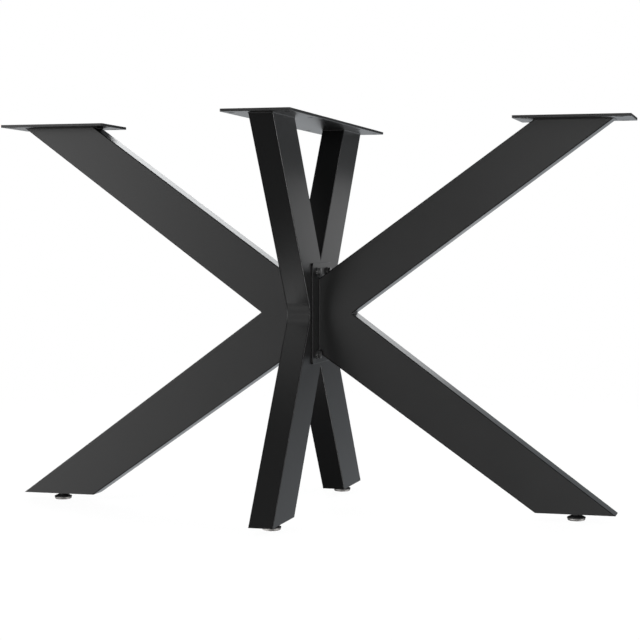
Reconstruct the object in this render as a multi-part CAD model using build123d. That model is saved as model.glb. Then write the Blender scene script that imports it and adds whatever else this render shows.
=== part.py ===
from build123d import *
import math
import os
from dataclasses import dataclass

# Star table base. A centre frame of four welded box-section arms makes an X across the table,
# and two side frames, each a V of two arms, are bolted to its flat sides at the hub.
# X runs along the table, Y across it and Z up. The origin is on the floor under the hub.
# Sizes are in millimetres and angles in degrees.

# Heights, from the floor up
FOOT_HEIGHT = 13.0        # floor to the cut ends of the lower arms, with the feet screwed in
LOWER_RISE = 354.0        # cut ends of the lower arms to the middle of the hub
UPPER_RISE = 348.0        # middle of the hub to the undersides of the top plates

# Box section that all arms share
SECTION_WIDTH = 44.0
WALL = 2.0
CORNER_RADIUS = 2.0

# Centre frame, seen along X
CENTRE_NOTCH = 66.5       # hub axis to the inner corner of each V, before it is bent round
CENTRE_BEND = 36.0        # radius of the bend that carries the arms' faces round that corner
CENTRE_ANGLE = 55.4       # slope of the arms from level
CENTRE_DEPTH = 110.5      # depth of the section

# Side frames, seen along Y. Their arms narrow from the hub to the free end.
SIDE_NOTCH = 87.0
SIDE_BEND = 1.0           # radius of the welded corner of each V
SIDE_ANGLE = 36.35
SIDE_UPPER_HUB_DEPTH = 88.0
SIDE_LOWER_HUB_DEPTH = 96.0
SIDE_END_DEPTH = 82.5

# Top plates
PLATE_THICKNESS = 5.0
PLATE_WIDTH = 123.0
PLATE_CORNER = 3.0
PLATE_EDGE = 0.6          # rounding of the plates' edges
SIDE_PLATE_MARGIN = 33.5  # plate past the arm's end at either side
CENTRE_PLATE_MARGIN = 32.5
SIDE_SLOT_LENGTH = 17.0
SIDE_SLOT_WIDTH = 9.0
CENTRE_HOLE_DIAMETER = 10.0
HOLE_SIDE_INSET = 12.0    # hole middles in from the long edges of a plate
SLOT_END_INSET = 21.0     # slot middles in from the short edges of a side plate
OUTER_HOLE_INSET = 27.0   # outer hole middles in from the short edges of the centre plate
INNER_HOLE_SPACING = 342.0

# Bolted joint between each side frame and the centre frame
FLANGE_THICKNESS = 3.0
FLANGE_SIDE_MARGIN = 31.0  # flange past the bolt middles, across
FLANGE_END_MARGIN = 16.0   # flange past the bolt middles, up and down
FLANGE_CORNER = 4.0
HUB_BOLT_HEIGHT = 76.0     # bolt middles above and below the middle of the hub
HUB_BOLT_GAP = 5.0         # arm's face to the edge of a washer
BOLT_DIAMETER = 8.0
BOLT_LENGTH = 20.0
BOLT_HEAD_WIDTH = 13.0     # across the flats
BOLT_HEAD_HEIGHT = 5.3
BOLT_TIP_CHAMFER = 1.0
BOLT_HOLE_CLEARANCE = 0.5  # each side of the bolt in flange and wall
WASHER_DIAMETER = 16.0
WASHER_THICKNESS = 1.6
WASHER_CLEARANCE = 0.2     # each side of the bolt in the washer
NUT_WIDTH = 13.0           # across the flats
NUT_HEIGHT = 6.5
THREAD_CLEARANCE = 0.05    # each side of a thread in its nut

# Levelling feet
END_PLATE_THICKNESS = 4.0
END_PLATE_RELIEF = 0.5     # larger corner rounding than the inside of the arm
STUD_DIAMETER = 8.0
STUD_HOLE_CLEARANCE = 0.5  # each side of the stud in the end plate
STUD_ABOVE_NUT = 14.0
STUD_TIP_CHAMFER = 1.0
FOOT_TOP_GAP = 0.3         # foot body to the arm's cut end, screwed fully in
BODY_TOP_DIAMETER = 18.5
BODY_BASE_DIAMETER = 33.4
BODY_LIP = 1.0             # upright rim at the base of the cone
BODY_FLOOR = 2.0           # body under the stud
BODY_EDGE = 0.4            # chamfer of the cone's rims
GLIDE_DIAMETER = 32.0
GLIDE_HEIGHT = 5.0
GLIDE_WALL = 1.2
GLIDE_EDGE = 2.6           # outer rounding of the pressed cup
GLIDE_CLEARANCE = 0.1      # body in the cup, each side

# Heights and places worked out from the driving dimensions
HUB_Z = FOOT_HEIGHT + LOWER_RISE
PLATE_Z = HUB_Z + UPPER_RISE
HALF_WIDTH = SECTION_WIDTH / 2
FLANGE_FACE = HALF_WIDTH + FLANGE_THICKNESS
HUB_BOLT_Y = HALF_WIDTH + HUB_BOLT_GAP + WASHER_DIAMETER / 2
HUB_BOLT_PLACES = [
    (across, HUB_Z + up)
    for across in (-HUB_BOLT_Y, HUB_BOLT_Y)
    for up in (-HUB_BOLT_HEIGHT, HUB_BOLT_HEIGHT)
]
BOLT_HOLE_RADIUS = BOLT_DIAMETER / 2 + BOLT_HOLE_CLEARANCE
TURNS = {"right": 0, "back": 90, "left": 180, "front": 270}


@dataclass(frozen=True)
class Arm:
    """One arm seen from the side, with r out from the hub axis and h away from the hub's middle."""

    root: float       # r of the cut face at the hub
    notch: float      # r of the inner corner of the V
    bend: float       # radius of the bend at that corner
    angle: float      # slope of the notch-side edge
    hub_depth: float  # depth of the section at the notch
    end_depth: float  # depth of the section at the free end
    rise: float       # h of the free end

    def notch_edge(self, h, inset=0.0):
        """r of the notch-side edge at height h, moved into the section by inset."""
        slope = math.radians(self.angle)
        return self.notch + h / math.tan(slope) - inset / math.sin(slope)

    def hub_line(self):
        """A point of the hub-side edge and the edge's slope as rise over run."""
        slope = math.radians(self.angle)
        across = Vector(-math.sin(slope), math.cos(slope))
        start = Vector(self.notch, 0) + across * self.hub_depth
        end = Vector(self.notch_edge(self.rise), self.rise) + across * self.end_depth
        return start, (end.Y - start.Y) / (end.X - start.X)

    def hub_edge(self, h, inset=0.0):
        """r of the hub-side edge at height h, moved into the section by inset."""
        start, grade = self.hub_line()
        drop = inset * math.hypot(1, grade)
        return start.X + (h + drop - start.Y) / grade

    def hub_edge_height(self, inset=0.0):
        """h where the hub-side edge, moved in by inset, meets the cut face at the hub."""
        start, grade = self.hub_line()
        return start.Y + grade * (self.root - start.X) - inset * math.hypot(1, grade)

    def bend_points(self, inset=0.0):
        """Start, middle and end of the bend, from the hub's middle to the straight of the edge."""
        middle = Vector(self.notch + self.bend / math.sin(math.radians(self.angle)), 0)
        start = Vector(-self.bend - inset, 0)
        return [middle + start.rotate(Axis.Z, share * (self.angle - 90)) for share in (0, 0.5, 1)]

    def outline(self, inset=0.0):
        """Side view of the whole arm, with its long edges moved in by inset."""
        bend = ThreePointArc(*self.bend_points(inset))
        straights = Polyline(
            bend @ 1,
            (self.notch_edge(self.rise, inset), self.rise),
            (self.hub_edge(self.rise, inset), self.rise),
            (self.root, self.hub_edge_height(inset)),
            (self.root, 0),
            bend @ 0,
        )
        return make_face(straights.edges() + bend.edges())

    def end_outline(self, thickness):
        """Side view of a slice of the hollow inside, at the free end."""
        low = self.rise - thickness
        corners = [
            (self.notch_edge(low, WALL), low),
            (self.notch_edge(self.rise, WALL), self.rise),
            (self.hub_edge(self.rise, WALL), self.rise),
            (self.hub_edge(low, WALL), low),
        ]
        return make_face(Polyline(*corners, close=True))

    def end_middle(self):
        """r of the middle of the free end."""
        return (self.notch_edge(self.rise) + self.hub_edge(self.rise)) / 2

    def end_length(self):
        """Length of the free end along r."""
        return self.notch_edge(self.rise) - self.hub_edge(self.rise)


CENTRE_UPPER = Arm(
    0, CENTRE_NOTCH, CENTRE_BEND, CENTRE_ANGLE, CENTRE_DEPTH, CENTRE_DEPTH, UPPER_RISE
)
CENTRE_LOWER = Arm(
    0, CENTRE_NOTCH, CENTRE_BEND, CENTRE_ANGLE, CENTRE_DEPTH, CENTRE_DEPTH, LOWER_RISE
)
SIDE_UPPER = Arm(
    FLANGE_FACE, SIDE_NOTCH, SIDE_BEND, SIDE_ANGLE, SIDE_UPPER_HUB_DEPTH, SIDE_END_DEPTH, UPPER_RISE
)
SIDE_LOWER = Arm(
    FLANGE_FACE, SIDE_NOTCH, SIDE_BEND, SIDE_ANGLE, SIDE_LOWER_HUB_DEPTH, SIDE_END_DEPTH, LOWER_RISE
)
UPPER_ARMS = {
    "right": SIDE_UPPER, "left": SIDE_UPPER, "front": CENTRE_UPPER, "back": CENTRE_UPPER
}
LOWER_ARMS = {
    "right": SIDE_LOWER, "left": SIDE_LOWER, "front": CENTRE_LOWER, "back": CENTRE_LOWER
}


def is_slanting(edge):
    """True for the long edges of an arm and their bends, which are neither level nor upright."""
    direction = edge.tangent_at(0.5)
    return abs(direction.X) > 0.01 and abs(direction.Z) > 0.01


def prism(outline, width, radius, up):
    """Side outline given a width along Y, with its slanting edges rounded, above or below the hub."""
    upright = Pos(0, 0, HUB_Z) * Rot(90 * up, 0, 0) * outline
    solid = extrude(upright, width / 2, both=True)
    if radius <= 0:
        return solid
    return fillet([edge for edge in solid.edges() if is_slanting(edge)], radius)


def box_arm(arm, up):
    """Hollow arm along +X, open at both cut ends."""
    outside = prism(arm.outline(), SECTION_WIDTH, CORNER_RADIUS, up)
    inside = prism(arm.outline(WALL), SECTION_WIDTH - 2 * WALL, CORNER_RADIUS - WALL, up)
    return outside - inside


def centre_arm(arm, up):
    """Centre frame's arm along +X, with the bolt holes through its two side walls."""
    hole = Cylinder(BOLT_HOLE_RADIUS, 2 * SECTION_WIDTH, rotation=(90, 0, 0))
    return box_arm(arm, up) - Pos(HUB_BOLT_Y, 0, HUB_Z + up * HUB_BOLT_HEIGHT) * hole


def plate(length, width, thickness, corner):
    """Flat plate on the XY plane with rounded corners, centred over the origin."""
    return extrude(RectangleRounded(length, width, corner), thickness)


def softened(solid, radius):
    """A plate with its outer edges rounded at both faces."""
    rims = solid.edges().group_by(Axis.Z)[0] + solid.edges().group_by(Axis.Z)[-1]
    return fillet(rims, radius)


def four_cuts(outline, pitch_x, pitch_y, thickness):
    """Cutters for one outline at the four corners of a rectangle, through a plate."""
    return extrude(Sketch() + GridLocations(pitch_x, pitch_y, 2, 2) * outline, thickness)


def side_top_plate():
    """Slotted plate over the end of a side frame's upper arm, along +X."""
    length = SIDE_UPPER.end_length() + 2 * SIDE_PLATE_MARGIN
    blank = softened(plate(length, PLATE_WIDTH, PLATE_THICKNESS, PLATE_CORNER), PLATE_EDGE)
    pitch_x = length - 2 * SLOT_END_INSET
    pitch_y = PLATE_WIDTH - 2 * HOLE_SIDE_INSET
    slot = SlotOverall(SIDE_SLOT_LENGTH, SIDE_SLOT_WIDTH)
    drilled = blank - four_cuts(slot, pitch_x, pitch_y, PLATE_THICKNESS)
    return Pos(SIDE_UPPER.end_middle(), 0, PLATE_Z) * drilled


def centre_top_plate():
    """Long drilled plate over the front and back upper arms."""
    length = 2 * (CENTRE_UPPER.notch_edge(UPPER_RISE) + CENTRE_PLATE_MARGIN)
    blank = softened(plate(PLATE_WIDTH, length, PLATE_THICKNESS, PLATE_CORNER), PLATE_EDGE)
    pitch_x = PLATE_WIDTH - 2 * HOLE_SIDE_INSET
    hole = Circle(CENTRE_HOLE_DIAMETER / 2)
    for pitch_y in (INNER_HOLE_SPACING, length - 2 * OUTER_HOLE_INSET):
        blank -= four_cuts(hole, pitch_x, pitch_y, PLATE_THICKNESS)
    return Pos(0, 0, PLATE_Z) * blank


def at_hub_bolts(piece, x):
    """Copies of a piece that is made along +Z, set along +X at each hub bolt from x outwards."""
    turned = Rot(0, 90, 0) * piece
    return Compound(children=[Pos(x, across, up) * turned for across, up in HUB_BOLT_PLACES])


def hub_flange():
    """Upright bolting plate on the centre frame's +X side."""
    height = 2 * (HUB_BOLT_HEIGHT + FLANGE_END_MARGIN)
    width = 2 * (HUB_BOLT_Y + FLANGE_SIDE_MARGIN)
    blank = softened(plate(height, width, FLANGE_THICKNESS, FLANGE_CORNER), PLATE_EDGE)
    hole = Circle(BOLT_HOLE_RADIUS)
    flange = blank - four_cuts(hole, 2 * HUB_BOLT_HEIGHT, 2 * HUB_BOLT_Y, FLANGE_THICKNESS)
    return Pos(HALF_WIDTH, 0, HUB_Z) * Rot(0, 90, 0) * flange


def hexagon(across_flats):
    """Hexagon by its size across the flats."""
    return RegularPolygon(across_flats / 2, 6, major_radius=False)


def chamfered_hexagon(across_flats, height):
    """Hexagonal prism with the corners of its far end turned off at 30 degrees."""
    corner = across_flats / math.sqrt(3)
    chamfer_height = (corner - across_flats / 2) * math.tan(math.radians(30))
    turned = Cylinder(corner, height, align=(Align.CENTER, Align.CENTER, Align.MIN))
    turned = chamfer(turned.edges().group_by(Axis.Z)[-1], chamfer_height, corner - across_flats / 2)
    return extrude(hexagon(across_flats), height) & turned


def hub_bolt():
    """Hexagon head bolt along +Z, with the underside of its head at the origin."""
    shank = Cylinder(BOLT_DIAMETER / 2, BOLT_LENGTH, align=(Align.CENTER, Align.CENTER, Align.MAX))
    shank = chamfer(shank.edges().group_by(Axis.Z)[0], BOLT_TIP_CHAMFER)
    return chamfered_hexagon(BOLT_HEAD_WIDTH, BOLT_HEAD_HEIGHT) + shank


def washer():
    """Flat washer from the origin up."""
    ring = Circle(WASHER_DIAMETER / 2) - Circle(BOLT_DIAMETER / 2 + WASHER_CLEARANCE)
    return extrude(ring, WASHER_THICKNESS)


def weld_nut(thread):
    """Hexagon weld nut from the origin up, for a thread of the given diameter."""
    blank = chamfered_hexagon(NUT_WIDTH, NUT_HEIGHT)
    return blank - extrude(Circle(thread / 2 + THREAD_CLEARANCE), NUT_HEIGHT)


def foot_plate(arm):
    """Plate welded flush into the cut end of a lower arm along +X, drilled for the stud."""
    radius = max(CORNER_RADIUS - WALL, 0) + END_PLATE_RELIEF
    blank = prism(
        arm.end_outline(END_PLATE_THICKNESS), SECTION_WIDTH - 2 * WALL, radius, -1
    )
    hole = Cylinder(STUD_DIAMETER / 2 + STUD_HOLE_CLEARANCE, 4 * END_PLATE_THICKNESS)
    return blank - Pos(arm.end_middle(), 0, FOOT_HEIGHT) * hole


def foot_stud():
    """Threaded stud on the Z axis, from inside the foot's body to above the weld nut."""
    bottom = GLIDE_WALL + BODY_FLOOR
    top = FOOT_HEIGHT + END_PLATE_THICKNESS + NUT_HEIGHT + STUD_ABOVE_NUT
    rod = Cylinder(STUD_DIAMETER / 2, top - bottom, align=(Align.CENTER, Align.CENTER, Align.MIN))
    rod = chamfer(rod.edges().group_by(Axis.Z)[-1], STUD_TIP_CHAMFER)
    return Pos(0, 0, bottom) * rod


def foot_body():
    """Moulded cone on the Z axis, with a spigot that fills the pressed cup below it."""
    top = FOOT_HEIGHT - FOOT_TOP_GAP
    spigot = GLIDE_DIAMETER / 2 - GLIDE_WALL - GLIDE_CLEARANCE
    corners = [
        (0, GLIDE_WALL),
        (spigot - GLIDE_EDGE, GLIDE_WALL),
        (spigot, GLIDE_WALL + GLIDE_EDGE),
        (spigot, GLIDE_HEIGHT),
        (BODY_BASE_DIAMETER / 2, GLIDE_HEIGHT),
        (BODY_BASE_DIAMETER / 2, GLIDE_HEIGHT + BODY_LIP),
        (BODY_TOP_DIAMETER / 2, top),
        (0, top),
    ]
    cone = revolve(Plane.XZ * make_face(Polyline(*corners, close=True)), Axis.Z)
    rims = [edge for edge in cone.edges().filter_by(GeomType.CIRCLE) if edge.center().Z > GLIDE_HEIGHT]
    cone = chamfer(rims, BODY_EDGE)
    bore = Cylinder(
        STUD_DIAMETER / 2 + THREAD_CLEARANCE, FOOT_HEIGHT, align=(Align.CENTER, Align.CENTER, Align.MIN)
    )
    return cone - Pos(0, 0, GLIDE_WALL + BODY_FLOOR) * bore


def foot_glide():
    """Pressed metal cup on the Z axis that stands on the floor."""
    stand = (Align.CENTER, Align.CENTER, Align.MIN)
    outside = Cylinder(GLIDE_DIAMETER / 2, GLIDE_HEIGHT, align=stand)
    outside = fillet(outside.edges().group_by(Axis.Z)[0], GLIDE_EDGE)
    inside = Cylinder(GLIDE_DIAMETER / 2 - GLIDE_WALL, GLIDE_HEIGHT, align=stand)
    inside = chamfer(inside.edges().group_by(Axis.Z)[0], GLIDE_EDGE - GLIDE_WALL)
    return outside - Pos(0, 0, GLIDE_WALL) * inside


def star_base():
    """All pieces of the base, by name."""
    pieces = {"centre_top_plate": centre_top_plate()}
    for side, turn in TURNS.items():
        make_arm = box_arm if side in ("left", "right") else centre_arm
        lower = LOWER_ARMS[side]
        foot_place = Pos(lower.end_middle(), 0, 0)
        nut_place = Pos(lower.end_middle(), 0, FOOT_HEIGHT + END_PLATE_THICKNESS)
        along_x = {
            "upper_arm": make_arm(UPPER_ARMS[side], 1),
            "lower_arm": make_arm(lower, -1),
            "foot_plate": foot_plate(lower),
            "foot_nut": nut_place * weld_nut(STUD_DIAMETER),
            "foot_stud": foot_place * foot_stud(),
            "foot_body": foot_place * foot_body(),
            "foot_glide": foot_place * foot_glide(),
        }
        if side in ("left", "right"):
            washer_face = FLANGE_FACE + WASHER_THICKNESS
            along_x["top_plate"] = side_top_plate()
            along_x["hub_flange"] = hub_flange()
            along_x["hub_washers"] = at_hub_bolts(washer(), FLANGE_FACE)
            along_x["hub_bolts"] = at_hub_bolts(hub_bolt(), washer_face)
            along_x["hub_nuts"] = at_hub_bolts(weld_nut(BOLT_DIAMETER), HALF_WIDTH - WALL - NUT_HEIGHT)
        for name, piece in along_x.items():
            pieces[f"{side}_{name}"] = Rot(0, 0, turn) * piece
    return pieces


os.makedirs("parts", exist_ok=True)
for name, piece in star_base().items():
    export_step(piece, f"parts/{name}.step")
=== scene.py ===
"""Star table base: finishes, welds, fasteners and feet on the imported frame, in a plain studio."""

import logging
import math
from dataclasses import dataclass
from enum import Enum, IntEnum
from typing import Any

import bmesh
import bpy
from mathutils import Matrix, Vector


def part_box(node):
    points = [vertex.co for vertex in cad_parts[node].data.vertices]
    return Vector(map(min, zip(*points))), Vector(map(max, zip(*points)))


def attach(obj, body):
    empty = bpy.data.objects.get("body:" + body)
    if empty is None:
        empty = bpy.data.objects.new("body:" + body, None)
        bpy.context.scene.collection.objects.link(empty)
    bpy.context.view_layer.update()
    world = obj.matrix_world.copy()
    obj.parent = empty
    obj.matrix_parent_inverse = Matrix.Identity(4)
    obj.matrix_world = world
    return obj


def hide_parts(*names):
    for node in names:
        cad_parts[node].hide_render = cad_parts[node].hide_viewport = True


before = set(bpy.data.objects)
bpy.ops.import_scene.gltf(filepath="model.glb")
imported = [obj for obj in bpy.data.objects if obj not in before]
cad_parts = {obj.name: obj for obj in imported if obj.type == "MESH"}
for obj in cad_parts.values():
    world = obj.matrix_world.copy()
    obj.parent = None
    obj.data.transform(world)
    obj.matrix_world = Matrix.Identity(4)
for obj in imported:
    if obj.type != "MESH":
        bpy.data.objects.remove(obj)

LOG = logging.getLogger("star_table_base")
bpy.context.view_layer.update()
MM = 0.001
MERGE = 0.002 * MM
SHARP_ANGLE = math.radians(35)
RIM_ANGLE = 0.4
LATHE_STEPS = 64

Colour = tuple[float, float, float, float]


class Axis(IntEnum):
    """Axes of the shared frame."""

    X = 0
    Y = 1
    Z = 2


class Slot(Enum):
    """Names of finish slots."""

    COAT = "black_coat"
    BOLTS = "black_bolts"
    ZINC = "zinc"
    PLASTIC = "foot_plastic"


class Side(Enum):
    """Side frames, by the way that they point along X."""

    LEFT = -1
    RIGHT = 1

    @property
    def word(self) -> str:
        """Name that the side's nodes start with."""
        return self.name.lower()


class Leg(Enum):
    """Lower arms, each with its own foot."""

    FRONT = "front"
    BACK = "back"
    LEFT = "left"
    RIGHT = "right"


class Socket:
    """An output of a shader graph, with the operators that the finishes use."""

    def __init__(self, graph: "Graph", output: bpy.types.NodeSocket) -> None:
        """Keep the graph and the output."""
        self.graph = graph
        self.output = output

    def pick(self, output: str) -> "Socket":
        """Another output of the same node."""
        return Socket(self.graph, self.output.node.outputs[output])

    def _math(self, operation: str, first: "Value", second: "Value") -> "Socket":
        """Result of one Math node."""
        return self.graph.add("ShaderNodeMath", {"operation": operation}, {0: first, 1: second})

    def __add__(self, other: "Value") -> "Socket":
        """Sum with a socket or a number."""
        return self._math("ADD", self, other)

    def __radd__(self, other: "Value") -> "Socket":
        """Sum with a number on the left."""
        return self._math("ADD", other, self)

    def __sub__(self, other: "Value") -> "Socket":
        """Difference from a socket or a number."""
        return self._math("SUBTRACT", self, other)

    def __rsub__(self, other: "Value") -> "Socket":
        """A number less this socket."""
        return self._math("SUBTRACT", other, self)

    def __mul__(self, other: "Value") -> "Socket":
        """Product with a socket or a number."""
        return self._math("MULTIPLY", self, other)

    def __rmul__(self, other: "Value") -> "Socket":
        """Product with a number on the left."""
        return self._math("MULTIPLY", other, self)

    def __pow__(self, other: "Value") -> "Socket":
        """This socket to a power."""
        return self._math("POWER", self, other)


Value = Socket | float


class Graph:
    """A node tree that a finish or the studio writes."""

    def __init__(self, tree: bpy.types.NodeTree) -> None:
        """Start from an empty tree."""
        self.tree = tree
        tree.nodes.clear()

    def add(
        self,
        kind: str,
        settings: dict[str, Any] | None = None,
        sockets: dict[str | int, Any] | None = None,
        output: str | int = 0,
    ) -> Socket | None:
        """Add one node.

        Args:
            kind: the node's type.
            settings: the node's own options, set before its sockets are fed.
            sockets: values or links of its inputs, by name or place.
            output: the output that is wanted.

        Returns:
            The wanted output, or None for a node that has none.
        """
        node = self.tree.nodes.new(kind)
        for name, value in (settings or {}).items():
            setattr(node, name, value)
        for key, value in (sockets or {}).items():
            if isinstance(value, Socket):
                self.tree.links.new(value.output, node.inputs[key])
            else:
                node.inputs[key].default_value = value
        return Socket(self, node.outputs[output]) if node.outputs else None

    def smooth(self, value: Value, low: float, high: float) -> Socket:
        """Soft step from 0 at low to 1 at high."""
        sockets = {"Value": value, "From Min": low, "From Max": high}
        return self.add("ShaderNodeMapRange", {"interpolation_type": "SMOOTHSTEP"}, sockets)

    def place(self, centre: tuple[float, float, float] = (0.0, 0.0, 0.0)) -> Socket:
        """Object coordinates measured from a centre.

        Args:
            centre: the place that becomes the origin.

        Returns:
            The coordinates.
        """
        here = self.add("ShaderNodeTexCoord", output="Object")
        back = tuple(-value for value in centre)
        return self.add("ShaderNodeMapping", {}, {"Vector": here, "Location": back})

    def noise(self, size: float, detail: float = 2.0) -> Socket:
        """Noise from 0 to 1 with lumps about size metres across."""
        sockets = {"Vector": self.place(), "Scale": 1 / size, "Detail": detail}
        return self.add("ShaderNodeTexNoise", {}, sockets, "Fac")

    def mix(self, factor: Value, first: Colour, second: Colour) -> Socket:
        """Colour between two others."""
        sockets = {"Factor": factor, 6: first, 7: second}
        return self.add("ShaderNodeMix", {"data_type": "RGBA"}, sockets, 2)

    def bump(self, height: Socket, distance: float) -> Socket:
        """Normal of a surface that rises by distance where height goes from 0 to 1."""
        return self.add("ShaderNodeBump", {}, {"Height": height, "Distance": distance})


def tint(level: float, warmth: float = 0.0) -> Colour:
    """Near-neutral colour of a level, warmer or cooler by a share."""
    return (level * (1 + warmth), level, level * (1 - warmth), 1.0)


@dataclass(frozen=True)
class Finish:
    """A surface finish that writes its own shader."""

    name: str

    def shader(self, graph: Graph) -> Socket:
        """Surface shader of the finish."""
        raise NotImplementedError

    def material(self) -> bpy.types.Material:
        """Material of the finish, made once.

        Returns:
            The material.
        """
        made = bpy.data.materials.get(self.name)
        if made is None:
            made = bpy.data.materials.new(self.name)
            made.use_nodes = True
            graph = Graph(made.node_tree)
            graph.add("ShaderNodeOutputMaterial", {}, {"Surface": self.shader(graph)})
        return made


@dataclass(frozen=True)
class PowderCoat(Finish):
    """Satin black powder coat: a faint orange peel under a fine grain."""

    name: str = "satin_black_coat"
    level: float = 0.0065
    cloud_share: float = 0.16
    cloud_size: float = 70 * MM
    peel_size: float = 2.6 * MM
    grain_size: float = 0.55 * MM
    peel_share: float = 0.65
    relief: float = 0.05 * MM
    gloss_low: float = 0.28
    gloss_spread: float = 0.08
    warmth: float = -0.03
    ior: float = 1.5

    def shader(self, graph: Graph) -> Socket:
        """Dark coat whose colour, gloss and relief drift a little.

        Args:
            graph: the material's graph.

        Returns:
            The surface shader.
        """
        cloud = graph.noise(self.cloud_size, detail=3.0)
        peel = graph.noise(self.peel_size)
        grain = graph.noise(self.grain_size, detail=3.0)
        share = 0.5 * cloud + 0.5 * grain
        dark = tint(self.level * (1 - self.cloud_share), self.warmth)
        light = tint(self.level * (1 + self.cloud_share), self.warmth)
        height = self.peel_share * peel + (1 - self.peel_share) * grain
        sockets = {
            "Base Color": graph.mix(share, dark, light),
            "Roughness": self.gloss_low + self.gloss_spread * share,
            "IOR": self.ior,
            "Normal": graph.bump(height, self.relief),
        }
        return graph.add("ShaderNodeBsdfPrincipled", {}, sockets)


@dataclass(frozen=True)
class PlatedSteel(Finish):
    """Plated fastener steel with a crystalline mottle and fine handling marks."""

    level: float = 0.5
    warmth: float = 0.0
    gloss: float = 0.30
    gloss_drift: float = 0.06
    contrast: float = 0.2
    mottle_size: float = 2.2 * MM
    mark_size: float = 0.35 * MM
    relief: float = 0.012 * MM

    def shader(self, graph: Graph) -> Socket:
        """Metal whose colour follows the mottle, and its gloss the marks.

        Args:
            graph: the material's graph.

        Returns:
            The surface shader.
        """
        mottle = graph.noise(self.mottle_size, detail=4.0)
        marks = graph.noise(self.mark_size)
        dark = tint(self.level * (1 - self.contrast), self.warmth)
        light = tint(self.level * (1 + self.contrast), self.warmth)
        sockets = {
            "Base Color": graph.mix(mottle, dark, light),
            "Metallic": 1.0,
            "Roughness": self.gloss - self.gloss_drift + 2 * self.gloss_drift * marks,
            "Normal": graph.bump(0.5 * mottle + 0.5 * marks, self.relief),
        }
        return graph.add("ShaderNodeBsdfPrincipled", {}, sockets)


@dataclass(frozen=True)
class MouldedPlastic(Finish):
    """Black moulded plastic with a fine eroded texture."""

    name: str = "black_moulded_plastic"
    level: float = 0.013
    fresh: float = 0.85
    worn: float = 1.25
    scuff_size: float = 6 * MM
    grain_size: float = 0.4 * MM
    relief: float = 0.03 * MM
    gloss_low: float = 0.44
    gloss_spread: float = 0.14
    ior: float = 1.5

    def shader(self, graph: Graph) -> Socket:
        """Matt plastic with a little scuffing.

        Args:
            graph: the material's graph.

        Returns:
            The surface shader.
        """
        grain = graph.noise(self.grain_size, detail=3.0)
        scuff = graph.noise(self.scuff_size, detail=4.0)
        sockets = {
            "Base Color": graph.mix(scuff, tint(self.level * self.fresh), tint(self.level * self.worn)),
            "Roughness": self.gloss_low + self.gloss_spread * scuff,
            "IOR": self.ior,
            "Normal": graph.bump(grain, self.relief),
        }
        return graph.add("ShaderNodeBsdfPrincipled", {}, sockets)


@dataclass(frozen=True)
class PressedNickel(Finish):
    """Nickel-plated pressing with faint rings about its axis."""

    centre: tuple[float, float, float] = (0.0, 0.0, 0.0)
    level: float = 0.36
    warmth: float = 0.03
    contrast: float = 0.1
    ring_size: float = 0.35 * MM
    patch_size: float = 5 * MM
    relief: float = 0.008 * MM
    gloss_low: float = 0.46
    ring_gloss: float = 0.10
    patch_gloss: float = 0.06

    def shader(self, graph: Graph) -> Socket:
        """Satin metal with ringed gloss and a few cloudy patches.

        Args:
            graph: the material's graph.

        Returns:
            The surface shader.
        """
        across = graph.add("ShaderNodeSeparateXYZ", {}, {0: graph.place(self.centre)})
        radius = (across * across + across.pick("Y") * across.pick("Y")) ** 0.5
        rings = graph.add(
            "ShaderNodeTexNoise", {"noise_dimensions": "1D"}, {"W": radius * (1 / self.ring_size)}, "Fac"
        )
        patches = graph.noise(self.patch_size, detail=3.0)
        dark = tint(self.level * (1 - self.contrast), self.warmth)
        light = tint(self.level * (1 + self.contrast), self.warmth)
        sockets = {
            "Base Color": graph.mix(patches, dark, light),
            "Metallic": 1.0,
            "Roughness": self.gloss_low + self.ring_gloss * rings + self.patch_gloss * patches,
            "Normal": graph.bump(rings, self.relief),
        }
        return graph.add("ShaderNodeBsdfPrincipled", {}, sockets)


BLACK_STEEL = PlatedSteel("black_plated_steel", level=0.30, gloss=0.42)
ZINC_STEEL = PlatedSteel("zinc_plated_steel", level=0.56, warmth=-0.03, gloss=0.30)
COAT = PowderCoat()
PLASTIC = MouldedPlastic()


def dress_node(node: str, finish: Finish) -> None:
    """Give a carried-over node its finish."""
    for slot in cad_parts[node].material_slots:
        slot.material = finish.material()


def make_piece(
    name: str, shape: bmesh.types.BMesh, finish: Finish, slot: Slot, body: str, *stands_for: str
) -> bpy.types.Object:
    """Turn a finished shape into a piece of the model.

    Args:
        name: the piece's name.
        shape: the shape, in place; it is freed.
        finish: its finish.
        slot: the slot of that finish; not used.
        body: the body that it moves with.
        stands_for: nodes that it replaces.

    Returns:
        The piece.
    """
    bmesh.ops.recalc_face_normals(shape, faces=shape.faces)
    mesh = bpy.data.meshes.new(name)
    shape.to_mesh(mesh)
    shape.free()
    mesh.shade_smooth()
    mesh.set_sharp_from_angle(angle=SHARP_ANGLE)
    mesh.materials.append(finish.material())
    piece = bpy.data.objects.new(name, mesh)
    bpy.context.scene.collection.objects.link(piece)
    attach(piece, body)
    if stands_for:
        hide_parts(*stands_for)
    LOG.info("piece %s: %d faces", name, len(mesh.polygons))
    return piece


def cut_face(node: str, axis: Axis, level: float) -> tuple[Vector, Vector]:
    """Corners of the flat cut end of a node.

    Args:
        node: the node's name.
        axis: the axis that the cut is square to.
        level: the cut's place on that axis.

    Returns:
        The lowest and highest corner of the points on the cut.
    """
    near = 0.05 * MM
    points = [v.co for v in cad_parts[node].data.vertices if abs(v.co[axis] - level) < near]
    low = Vector(min(point[i] for point in points) for i in Axis)
    high = Vector(max(point[i] for point in points) for i in Axis)
    return low, high


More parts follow.
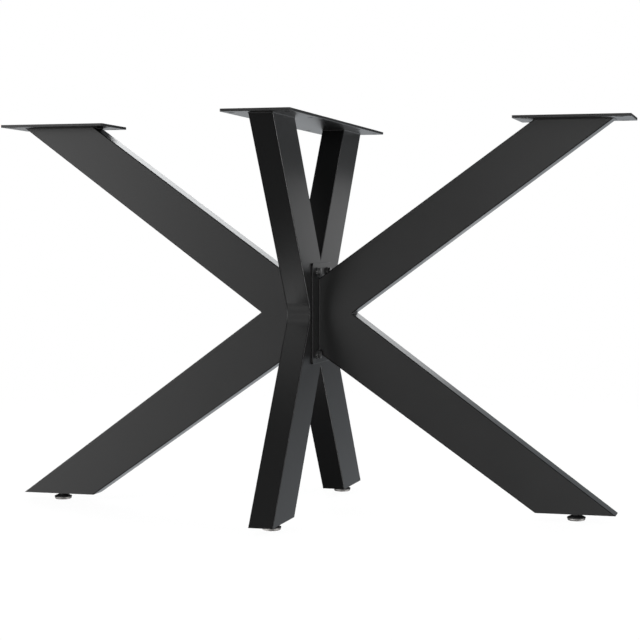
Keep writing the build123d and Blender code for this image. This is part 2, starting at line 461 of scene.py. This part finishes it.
@dataclass(frozen=True)
class WeldBead:
    """Fillet weld that runs once round the cut end of a box section."""

    radius: float = 1.1 * MM
    corner: float = 2.5 * MM
    ripple: float = 2.4 * MM
    depth: float = 0.13
    wander: float = 0.04
    waves: int = 7
    steps_per_ripple: int = 5
    sides: int = 10
    merge: float = 0.01 * MM

    def station(self, travel: float, run: float, rise: float) -> tuple[float, float, float]:
        """Place on the centre line of the bead.

        Args:
            travel: share of the way round, from 0 to 1.
            run: half length of the straights across.
            rise: half length of the straights along.

        Returns:
            Place across, place along and the angle that the bead faces there.
        """
        quarter = self.corner * math.pi / 2
        left = travel * 4 * (run + rise + quarter)
        turns = 0
        straight, reach = 2 * rise, run
        while left > straight + quarter and turns < 3:
            left -= straight + quarter
            turns += 1
            straight, reach = 2 * (run + rise) - straight, run + rise - reach
        bend = max(left - straight, 0.0) / self.corner
        u = reach + self.corner * math.cos(bend)
        v = min(left, straight) - straight / 2 + self.corner * math.sin(bend)
        for _ in range(turns):
            u, v = -v, u
        return u, v, bend + turns * math.pi / 2

    def build(self, name: str, low: Vector, high: Vector) -> bpy.types.Object:
        """Wrap a grid round the edge of the cut end, swelling with each ripple.

        Args:
            name: the piece's name.
            low: lowest corner of the cut end.
            high: highest corner of the cut end.

        Returns:
            The bead as a piece of the frame.
        """
        size = high - low
        across, along = [axis for axis in Axis if size[axis] > self.corner]
        square = sum(Axis) - across - along
        run, rise = size[across] / 2 - self.corner, size[along] / 2 - self.corner
        ripples = round(4 * (run + rise + self.corner * math.pi / 2) / self.ripple)
        shape = bmesh.new()
        bmesh.ops.create_grid(
            shape, x_segments=ripples * self.steps_per_ripple, y_segments=self.sides, size=0.5
        )
        middle = (low + high) / 2
        for vert in shape.verts:
            travel, lap = vert.co.x + 0.5, 2 * math.pi * (vert.co.y + 0.5)
            u, v, facing = self.station(travel, run, rise)
            crest = abs(math.sin(math.pi * ripples * travel))
            drift = self.wander * math.sin(2 * math.pi * self.waves * travel)
            swell = self.radius * (1 - self.depth * (1 - crest) + drift)
            place = middle.copy()
            place[across] += u + swell * math.cos(lap) * math.cos(facing)
            place[along] += v + swell * math.cos(lap) * math.sin(facing)
            place[square] += swell * math.sin(lap)
            vert.co = place
        bmesh.ops.remove_doubles(shape, verts=shape.verts, dist=self.merge)
        return make_piece(name, shape, COAT, Slot.COAT, "frame")


WELD = WeldBead()


@dataclass(frozen=True)
class Thread:
    """Metric thread that the bolts and the studs share."""

    radius: float = 3.95 * MM
    pitch: float = 1.25 * MM
    depth_share: float = 0.54
    flank_shares: tuple[float, float, float] = (0.12, 0.48, 0.64)
    lead_turns: float = 1.5
    steps_per_turn: int = 24

    def rod(self, low: float, high: float) -> bmesh.types.BMesh:
        """Threaded rod on the Z axis, cut square at both ends.

        Args:
            low: level of the lower end.
            high: level of the upper end.

        Returns:
            The closed rod.
        """
        root = self.radius - self.depth_share * self.pitch
        start = low - self.lead_turns * self.pitch
        turns = math.ceil((high - start) / self.pitch) + 1
        rise, crest, fall = self.flank_shares
        flanks = [(root, 0.0), (root, rise), (self.radius, crest), (self.radius, fall), (root, 1.0)]
        shape = bmesh.new()
        verts = [shape.verts.new((r, 0.0, start + share * self.pitch)) for r, share in flanks]
        edges = [shape.edges.new(pair) for pair in zip(verts, verts[1:])]
        bmesh.ops.spin(
            shape,
            geom=verts + edges,
            cent=(0, 0, 0),
            axis=(0, 0, 1),
            dvec=(0, 0, self.pitch / self.steps_per_turn),
            angle=2 * math.pi * turns,
            steps=self.steps_per_turn * turns,
        )
        bmesh.ops.remove_doubles(shape, verts=shape.verts, dist=MERGE)
        for level, outward in ((low, -1), (high, 1)):
            bmesh.ops.bisect_plane(
                shape,
                geom=shape.verts[:] + shape.edges[:] + shape.faces[:],
                plane_co=(0, 0, level),
                plane_no=(0, 0, outward),
                clear_outer=True,
            )
        rims = [edge for edge in shape.edges if edge.is_boundary]
        bmesh.ops.holes_fill(shape, edges=rims, sides=0)
        return shape


THREAD = Thread()


def lathe(profile: list[tuple[float, float]], closed: bool, edge_break: float) -> bmesh.types.BMesh:
    """Shape turned about the Z axis, with its rims broken.

    Args:
        profile: radius and level of each corner of the outline.
        closed: whether the outline returns to its first corner, or starts and ends on the axis.
        edge_break: width of the broken rims.

    Returns:
        The turned shape.
    """
    shape = bmesh.new()
    corners = [shape.verts.new((radius, 0.0, level)) for radius, level in profile]
    follow = corners[1:] + corners[:1] if closed else corners[1:]
    outline = [shape.edges.new(pair) for pair in zip(corners, follow)]
    bmesh.ops.spin(
        shape,
        geom=corners + outline,
        axis=(0, 0, 1),
        angle=2 * math.pi,
        steps=LATHE_STEPS,
        use_merge=True,
    )
    bmesh.ops.remove_doubles(shape, verts=shape.verts, dist=MERGE)
    rims = [edge for edge in shape.edges if edge.calc_face_angle(0.0) > RIM_ANGLE]
    bmesh.ops.bevel(
        shape, geom=rims, offset=edge_break, affect="EDGES", segments=2, profile=0.5, material=-1
    )
    return shape


@dataclass
class HubFasteners:
    """Hexagon bolts and washers that hold one side frame to the centre frame."""

    side: Side
    head_width: float = 13 * MM
    head_height: float = 5.3 * MM
    face_share: float = 0.95
    chamfer_angle: float = 30.0
    edge_break: float = 0.25 * MM
    washer_radius: float = 8 * MM
    washer_bore: float = 4.2 * MM
    flat_cuts: int = 7
    turn_each: float = 17.0

    def places(self) -> list[Matrix]:
        """Seats of the washers, with Z pointing out of the flange.

        Returns:
            One placing for each washer.
        """
        low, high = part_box(f"{self.side.word}_hub_washers")
        seat = low.x if self.side is Side.RIGHT else high.x
        turn = Matrix.Rotation(math.radians(90 * self.side.value), 4, "Y")
        return [
            Matrix.Translation((seat, across, up)) @ turn
            for across in (low.y + self.washer_radius, high.y - self.washer_radius)
            for up in (low.z + self.washer_radius, high.z - self.washer_radius)
        ]

    def washer(self) -> bmesh.types.BMesh:
        """Flat washer from its seat up, with broken edges.

        Returns:
            The washer.
        """
        low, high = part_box(f"{self.side.word}_hub_washers")
        thickness = high.x - low.x
        profile = [
            (self.washer_bore, 0.0),
            (self.washer_radius, 0.0),
            (self.washer_radius, thickness),
            (self.washer_bore, thickness),
        ]
        return lathe(profile, True, self.edge_break)

    def head(self) -> bmesh.types.BMesh:
        """Hexagon head from its underside up, with the corners turned off at a slope.

        Returns:
            The head.
        """
        shape = bmesh.new()
        corner = self.head_width / math.sqrt(3)
        face_radius = self.head_width / 2 * self.face_share
        slope = math.tan(math.radians(self.chamfer_angle))
        bmesh.ops.create_circle(shape, segments=6, radius=corner, cap_ends=True)
        bmesh.ops.subdivide_edges(shape, edges=shape.edges[:], cuts=self.flat_cuts)
        under = shape.faces[:]
        sides = bmesh.ops.extrude_face_region(shape, geom=under)["geom"]
        top = [item for item in sides if isinstance(item, bmesh.types.BMVert)]
        for vert in top:
            turned_off = max(vert.co.to_2d().length - face_radius, 0.0)
            vert.co.z = self.head_height - turned_off * slope
        crown = [item for item in sides if isinstance(item, bmesh.types.BMFace)]
        inner = bmesh.ops.extrude_face_region(shape, geom=crown)["geom"]
        bmesh.ops.delete(shape, geom=crown, context="FACES_ONLY")
        for vert in (item for item in inner if isinstance(item, bmesh.types.BMVert)):
            flat = vert.co.to_2d().normalized() * face_radius
            vert.co = (flat.x, flat.y, self.head_height)
        return shape

    def bolt(self) -> bmesh.types.BMesh:
        """Head and threaded shank, with the underside of the head at the origin.

        Returns:
            The bolt.
        """
        low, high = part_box(f"{self.side.word}_hub_bolts")
        shank_end = self.head_height - (high.x - low.x)
        shape = THREAD.rod(shank_end, self.edge_break)
        self._join(shape, self.head(), Matrix.Identity(4))
        return shape

    @staticmethod
    def _join(shape: bmesh.types.BMesh, other: bmesh.types.BMesh, place: Matrix) -> None:
        """Add another shape at a place and free it.

        Args:
            shape: the shape that grows.
            other: the shape that is added.
            place: where it is added.
        """
        bmesh.ops.transform(other, matrix=place, verts=other.verts)
        scratch = bpy.data.meshes.new("scratch")
        other.to_mesh(scratch)
        other.free()
        shape.from_mesh(scratch)
        bpy.data.meshes.remove(scratch)

    def build(self) -> list[bpy.types.Object]:
        """Set the washers and bolts on their seats.

        Returns:
            The group of washers and the group of bolts.
        """
        washers, bolts = bmesh.new(), bmesh.new()
        low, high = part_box(f"{self.side.word}_hub_washers")
        for index, seat in enumerate(self.places()):
            spin = Matrix.Rotation(math.radians(self.turn_each * index), 4, "Z")
            self._join(washers, self.washer(), seat)
            self._join(bolts, self.bolt(), seat @ Matrix.Translation((0, 0, high.x - low.x)) @ spin)
        word = self.side.word
        return [
            make_piece(f"{word}_washers", washers, BLACK_STEEL, Slot.BOLTS, "frame", f"{word}_hub_washers"),
            make_piece(f"{word}_bolts", bolts, BLACK_STEEL, Slot.BOLTS, "frame", f"{word}_hub_bolts"),
        ]

    def dress(self) -> None:
        """Finish the weld nuts inside the centre frame."""
        dress_node(f"{self.side.word}_hub_nuts", ZINC_STEEL)


@dataclass
class SideFrame:
    """One V of two tapered arms with its flange and slotted top plate."""

    side: Side

    def build(self) -> list[bpy.types.Object]:
        """Weld the arms to the top plate and to the flange.

        Returns:
            The two beads.
        """
        word = self.side.word
        plate_low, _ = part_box(f"{word}_top_plate")
        flange_low, flange_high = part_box(f"{word}_hub_flange")
        face = flange_high.x if self.side is Side.RIGHT else flange_low.x
        upper = cut_face(f"{word}_upper_arm", Axis.X, face)
        lower = cut_face(f"{word}_lower_arm", Axis.X, face)
        top = cut_face(f"{word}_upper_arm", Axis.Z, plate_low.z)
        return [
            WELD.build(f"{word}_plate_weld", *top),
            WELD.build(f"{word}_flange_weld", lower[0], upper[1]),
        ]

    def dress(self) -> None:
        """Coat the arms, the flange and the plate."""
        for piece in ("upper_arm", "lower_arm", "hub_flange", "top_plate"):
            dress_node(f"{self.side.word}_{piece}", COAT)


@dataclass
class CentreFrame:
    """The X of four arms under the long drilled plate."""

    ends: tuple[str, str] = ("front", "back")

    def build(self) -> list[bpy.types.Object]:
        """Weld both upper arms to the plate.

        Returns:
            The two beads.
        """
        plate_low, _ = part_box("centre_top_plate")
        return [
            WELD.build(f"{end}_plate_weld", *cut_face(f"{end}_upper_arm", Axis.Z, plate_low.z))
            for end in self.ends
        ]

    def dress(self) -> None:
        """Coat the arms and the plate."""
        dress_node("centre_top_plate", COAT)
        for end in self.ends:
            dress_node(f"{end}_upper_arm", COAT)
            dress_node(f"{end}_lower_arm", COAT)


@dataclass
class LevellingFoot:
    """Screw-in foot: threaded stud, moulded cone and pressed glide."""

    leg: Leg
    tip_chamfer: float = 1.0 * MM
    spigot_radius: float = 14.7 * MM
    spigot_edge: float = 2.6 * MM
    lip_height: float = 1.0 * MM
    skirt_drop: float = 0.9 * MM
    neck_radius: float = 8.8 * MM
    neck_height: float = 3.1 * MM
    clearance: float = 0.1 * MM
    rim_break: float = 0.15 * MM

    def stud(self) -> bmesh.types.BMesh:
        """Threaded stud on the Z axis with a chamfered tip.

        Returns:
            The stud.
        """
        low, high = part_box(f"{self.leg.value}_foot_stud")
        shape = THREAD.rod(low.z, high.z)
        for vert in shape.verts:
            limit = THREAD.radius - max(vert.co.z - high.z + self.tip_chamfer, 0.0)
            if vert.co.to_2d().length > limit:
                flat = vert.co.to_2d().normalized() * limit
                vert.co = (flat.x, flat.y, vert.co.z)
        return shape

    def body(self) -> bmesh.types.BMesh:
        """Moulded body on the Z axis: spigot in the glide, skirt over its edge, flare and neck.

        Returns:
            The body.
        """
        low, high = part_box(f"{self.leg.value}_foot_body")
        cup_low, cup_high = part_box(f"{self.leg.value}_foot_glide")
        bore_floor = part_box(f"{self.leg.value}_foot_stud")[0].z
        seat = cup_high.z
        lip = (high.x - low.x) / 2
        skirt = (cup_high.x - cup_low.x) / 2 + self.clearance
        bore = THREAD.radius + self.clearance
        profile = [
            (0.0, low.z),
            (self.spigot_radius - self.spigot_edge, low.z),
            (self.spigot_radius, low.z + self.spigot_edge),
            (self.spigot_radius, seat),
            (skirt, seat),
            (skirt, seat - self.skirt_drop),
            (lip, seat - self.skirt_drop),
            (lip, seat + self.lip_height),
            (self.neck_radius, high.z - self.neck_height),
            (self.neck_radius, high.z),
            (bore, high.z),
            (bore, bore_floor),
            (0.0, bore_floor),
        ]
        return lathe(profile, False, self.rim_break)

    def build(self) -> list[bpy.types.Object]:
        """Turn the moulded body and cut the thread on the stud.

        Returns:
            The stud and the body.
        """
        name = self.leg.value
        low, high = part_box(f"{name}_foot_stud")
        middle = (low + high) / 2
        stud, body = self.stud(), self.body()
        for shape in (stud, body):
            bmesh.ops.translate(shape, vec=(middle.x, middle.y, 0.0), verts=shape.verts)
        foot = f"{name}_foot"
        return [
            make_piece(f"{name}_stud", stud, ZINC_STEEL, Slot.ZINC, foot, f"{foot}_stud"),
            make_piece(f"{name}_cone", body, PLASTIC, Slot.PLASTIC, foot, f"{foot}_body"),
        ]

    def dress(self) -> None:
        """Finish the glide and the plate and nut that hold the stud."""
        name = self.leg.value
        low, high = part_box(f"{name}_foot_glide")
        glide = PressedNickel(f"pressed_nickel_{name}", tuple((low + high) / 2))
        dress_node(f"{name}_foot_glide", glide)
        dress_node(f"{name}_foot_nut", ZINC_STEEL)
        dress_node(f"{name}_foot_plate", COAT)


@dataclass(frozen=True)
class Panel:
    """A soft round light at a great distance, by where it stands and how wide it is."""

    azimuth: float
    elevation: float
    inner: float
    outer: float
    level: float
    warmth: float = 0.0

    def shader(self, graph: Graph, heading: Socket) -> Socket:
        """Light of the panel in each direction.

        Args:
            graph: the world's graph.
            heading: the direction that is looked in.

        Returns:
            A background shader that is black away from the panel.
        """
        turn, rise = math.radians(self.azimuth), math.radians(self.elevation)
        middle = (math.sin(turn) * math.cos(rise), -math.cos(turn) * math.cos(rise), math.sin(rise))
        nearness = graph.add(
            "ShaderNodeVectorMath", {"operation": "DOT_PRODUCT"}, {0: heading, 1: middle}, "Value"
        )
        edge, core = math.cos(math.radians(self.outer)), math.cos(math.radians(self.inner))
        strength = self.level * graph.smooth(nearness, edge, core)
        return graph.add(
            "ShaderNodeBackground", {}, {"Color": tint(1.0, self.warmth), "Strength": strength}
        )


@dataclass(frozen=True)
class Softbox:
    """A disc lamp that faces a point."""

    name: str
    place: tuple[float, float, float]
    target: tuple[float, float, float]
    diameter: float
    level: float

    def build(self) -> None:
        """Hang the lamp, out of the camera's sight."""
        data = bpy.data.lights.new(self.name, "AREA")
        data.shape = "DISK"
        data.size = self.diameter
        area = math.pi * self.diameter ** 2 / 4
        data.energy = self.level * math.pi * area
        lamp = bpy.data.objects.new(self.name, data)
        lamp.location = self.place
        aim = Vector(self.target) - Vector(self.place)
        lamp.rotation_euler = aim.to_track_quat("-Z", "Y").to_euler()
        lamp.visible_camera = False
        bpy.context.scene.collection.objects.link(lamp)


@dataclass
class Studio:
    """Camera, soft light and pale floor."""

    camera_place: tuple[float, float, float] = (0.8582, -3.0770, 0.4983)
    camera_yaw: float = 15.232
    camera_pitch: float = 2.607
    lens: float = 96.83
    ambient: float = 0.01
    gloss_share: float = 0.01
    floor_size: float = 6.0
    floor_fade: tuple[float, float] = (1.0, 2.6)
    floor_drop: float = 0.2 * MM
    floor_light: float = 0.25
    shadow_share: float = 0.20
    panels: tuple[Panel, ...] = (
        # from the front, level with the base
        Panel(azimuth=-45, elevation=0, inner=5, outer=30, level=3.46),
        Panel(azimuth=7, elevation=-2, inner=3, outer=13, level=4.40),
        # from the front, above and below; the narrow ones fill the bend at the hub
        Panel(azimuth=-15, elevation=31, inner=4, outer=18, level=0.95),
        Panel(azimuth=-15, elevation=-32, inner=4, outer=18, level=0.95),
        Panel(azimuth=-28, elevation=-48, inner=1.5, outer=7, level=1.30),
        Panel(azimuth=-23, elevation=-41, inner=1.5, outer=8, level=1.00),
        Panel(azimuth=-26, elevation=46, inner=1.5, outer=7, level=1.00),
        Panel(azimuth=-21, elevation=39, inner=1.5, outer=8, level=0.70),
        # from the right, for thin light edges
        Panel(azimuth=94, elevation=-36, inner=3, outer=14, level=11.0),
        Panel(azimuth=93, elevation=34, inner=3, outer=14, level=4.00),
        # from the right and from the top
        Panel(azimuth=75, elevation=0, inner=5, outer=30, level=1.80),
        Panel(azimuth=120, elevation=10, inner=5, outer=40, level=0.50),
        Panel(azimuth=-60, elevation=80, inner=5, outer=40, level=0.12),
        # from behind
        Panel(azimuth=-160, elevation=20, inner=5, outer=25, level=3.60, warmth=-0.01),
        Panel(azimuth=-150, elevation=-6, inner=5, outer=20, level=0.71, warmth=-0.02),
        Panel(azimuth=165, elevation=25, inner=5, outer=25, level=0.49, warmth=-0.06),
        Panel(azimuth=180, elevation=-25, inner=5, outer=30, level=0.88, warmth=-0.05),
    )
    softboxes: tuple[Softbox, ...] = (
        Softbox("glow_below", (-0.11, -0.22, -0.06), (0.0, -0.07, 0.36), 0.20, 1.82),
        Softbox("glow_above", (-0.16, -0.31, 0.84), (0.0, -0.07, 0.38), 0.20, 1.05),
        Softbox("glow_behind", (0.20, 0.62, 0.50), (0.0, 0.0, 0.45), 0.30, 0.44),
        Softbox("glow_left", (-1.30, -1.60, 0.60), (0.0, 0.0, 0.40), 0.90, 0.56),
        Softbox("glow_right", (0.36, -1.30, 0.64), (0.5, 0.0, 0.6), 0.40, 0.70),
    )

    def camera(self) -> None:
        """Stand the camera where the photograph was taken."""
        data = bpy.data.cameras.new("camera")
        data.lens = self.lens
        camera = bpy.data.objects.new("camera", data)
        camera.location = self.camera_place
        camera.rotation_euler = (math.radians(90 - self.camera_pitch), 0.0, math.radians(self.camera_yaw))
        bpy.context.scene.collection.objects.link(camera)
        bpy.context.scene.camera = camera

    def world(self) -> None:
        """White to the camera, and panels that light the base and show in its coat."""
        world = bpy.data.worlds.new("studio")
        world.use_nodes = True
        bpy.context.scene.world = world
        graph = Graph(world.node_tree)
        heading = graph.add("ShaderNodeTexCoord", output="Generated")
        light = graph.add("ShaderNodeBackground", {}, {"Color": tint(1.0), "Strength": self.ambient})
        for panel in self.panels:
            light = graph.add("ShaderNodeAddShader", {}, {0: light, 1: panel.shader(graph, heading)})
        rays = graph.add("ShaderNodeLightPath", output="Is Camera Ray")
        seen = rays + rays.pick("Is Transmission Ray") + self.gloss_share * rays.pick("Is Glossy Ray")
        white = graph.add("ShaderNodeBackground", {}, {"Color": tint(1.0), "Strength": 1.0})
        surface = graph.add("ShaderNodeMixShader", {}, {0: seen, 1: light, 2: white})
        graph.add("ShaderNodeOutputWorld", {}, {"Surface": surface})

    def floor(self) -> None:
        """Pale floor that keeps a soft shadow, is clear from below and fades out far away."""
        shape = bmesh.new()
        bmesh.ops.create_grid(shape, x_segments=1, y_segments=1, size=self.floor_size / 2)
        bmesh.ops.translate(shape, vec=(0, 0, -self.floor_drop), verts=shape.verts)
        mesh = bpy.data.meshes.new("floor")
        shape.to_mesh(mesh)
        shape.free()
        floor = bpy.data.objects.new("floor", mesh)
        bpy.context.scene.collection.objects.link(floor)
        floor.visible_diffuse = False
        floor.visible_glossy = False
        floor.visible_transmission = False
        floor.visible_shadow = False
        material = bpy.data.materials.new("pale_floor")
        material.use_nodes = True
        graph = Graph(material.node_tree)
        clear = graph.add(
            "ShaderNodeBsdfTransparent", {}, {"Color": tint(1 - self.shadow_share * self.floor_light)}
        )
        matt = graph.add("ShaderNodeBsdfDiffuse", {}, {"Color": tint(self.shadow_share)})
        shaded = graph.add("ShaderNodeAddShader", {}, {0: clear, 1: matt})
        below = graph.add("ShaderNodeNewGeometry", output="Backfacing")
        nothing = graph.add("ShaderNodeBsdfTransparent", {}, {"Color": tint(1.0)})
        reach = graph.add("ShaderNodeVectorMath", {"operation": "LENGTH"}, {0: graph.place()}, "Value")
        near = 1 - graph.smooth(reach, *self.floor_fade)
        surface = graph.add("ShaderNodeMixShader", {}, {0: near * (1 - below), 1: nothing, 2: shaded})
        graph.add("ShaderNodeOutputMaterial", {}, {"Surface": surface})
        mesh.materials.append(material)

    def build(self) -> None:
        """Set up the camera, the light and the floor."""
        bpy.context.scene.view_settings.view_transform = "Standard"
        self.camera()
        self.world()
        self.floor()
        for softbox in self.softboxes:
            softbox.build()


def main() -> None:
    """Build and dress each sub-assembly, then light it."""
    logging.basicConfig(level=logging.INFO, format="%(message)s")
    assemblies: list[CentreFrame | SideFrame | HubFasteners | LevellingFoot] = [CentreFrame()]
    assemblies += [SideFrame(side) for side in Side]
    assemblies += [HubFasteners(side) for side in Side]
    assemblies += [LevellingFoot(leg) for leg in Leg]
    for assembly in assemblies:
        assembly.build()
        assembly.dress()
    Studio().build()


if __name__ == "__main__":
    main()
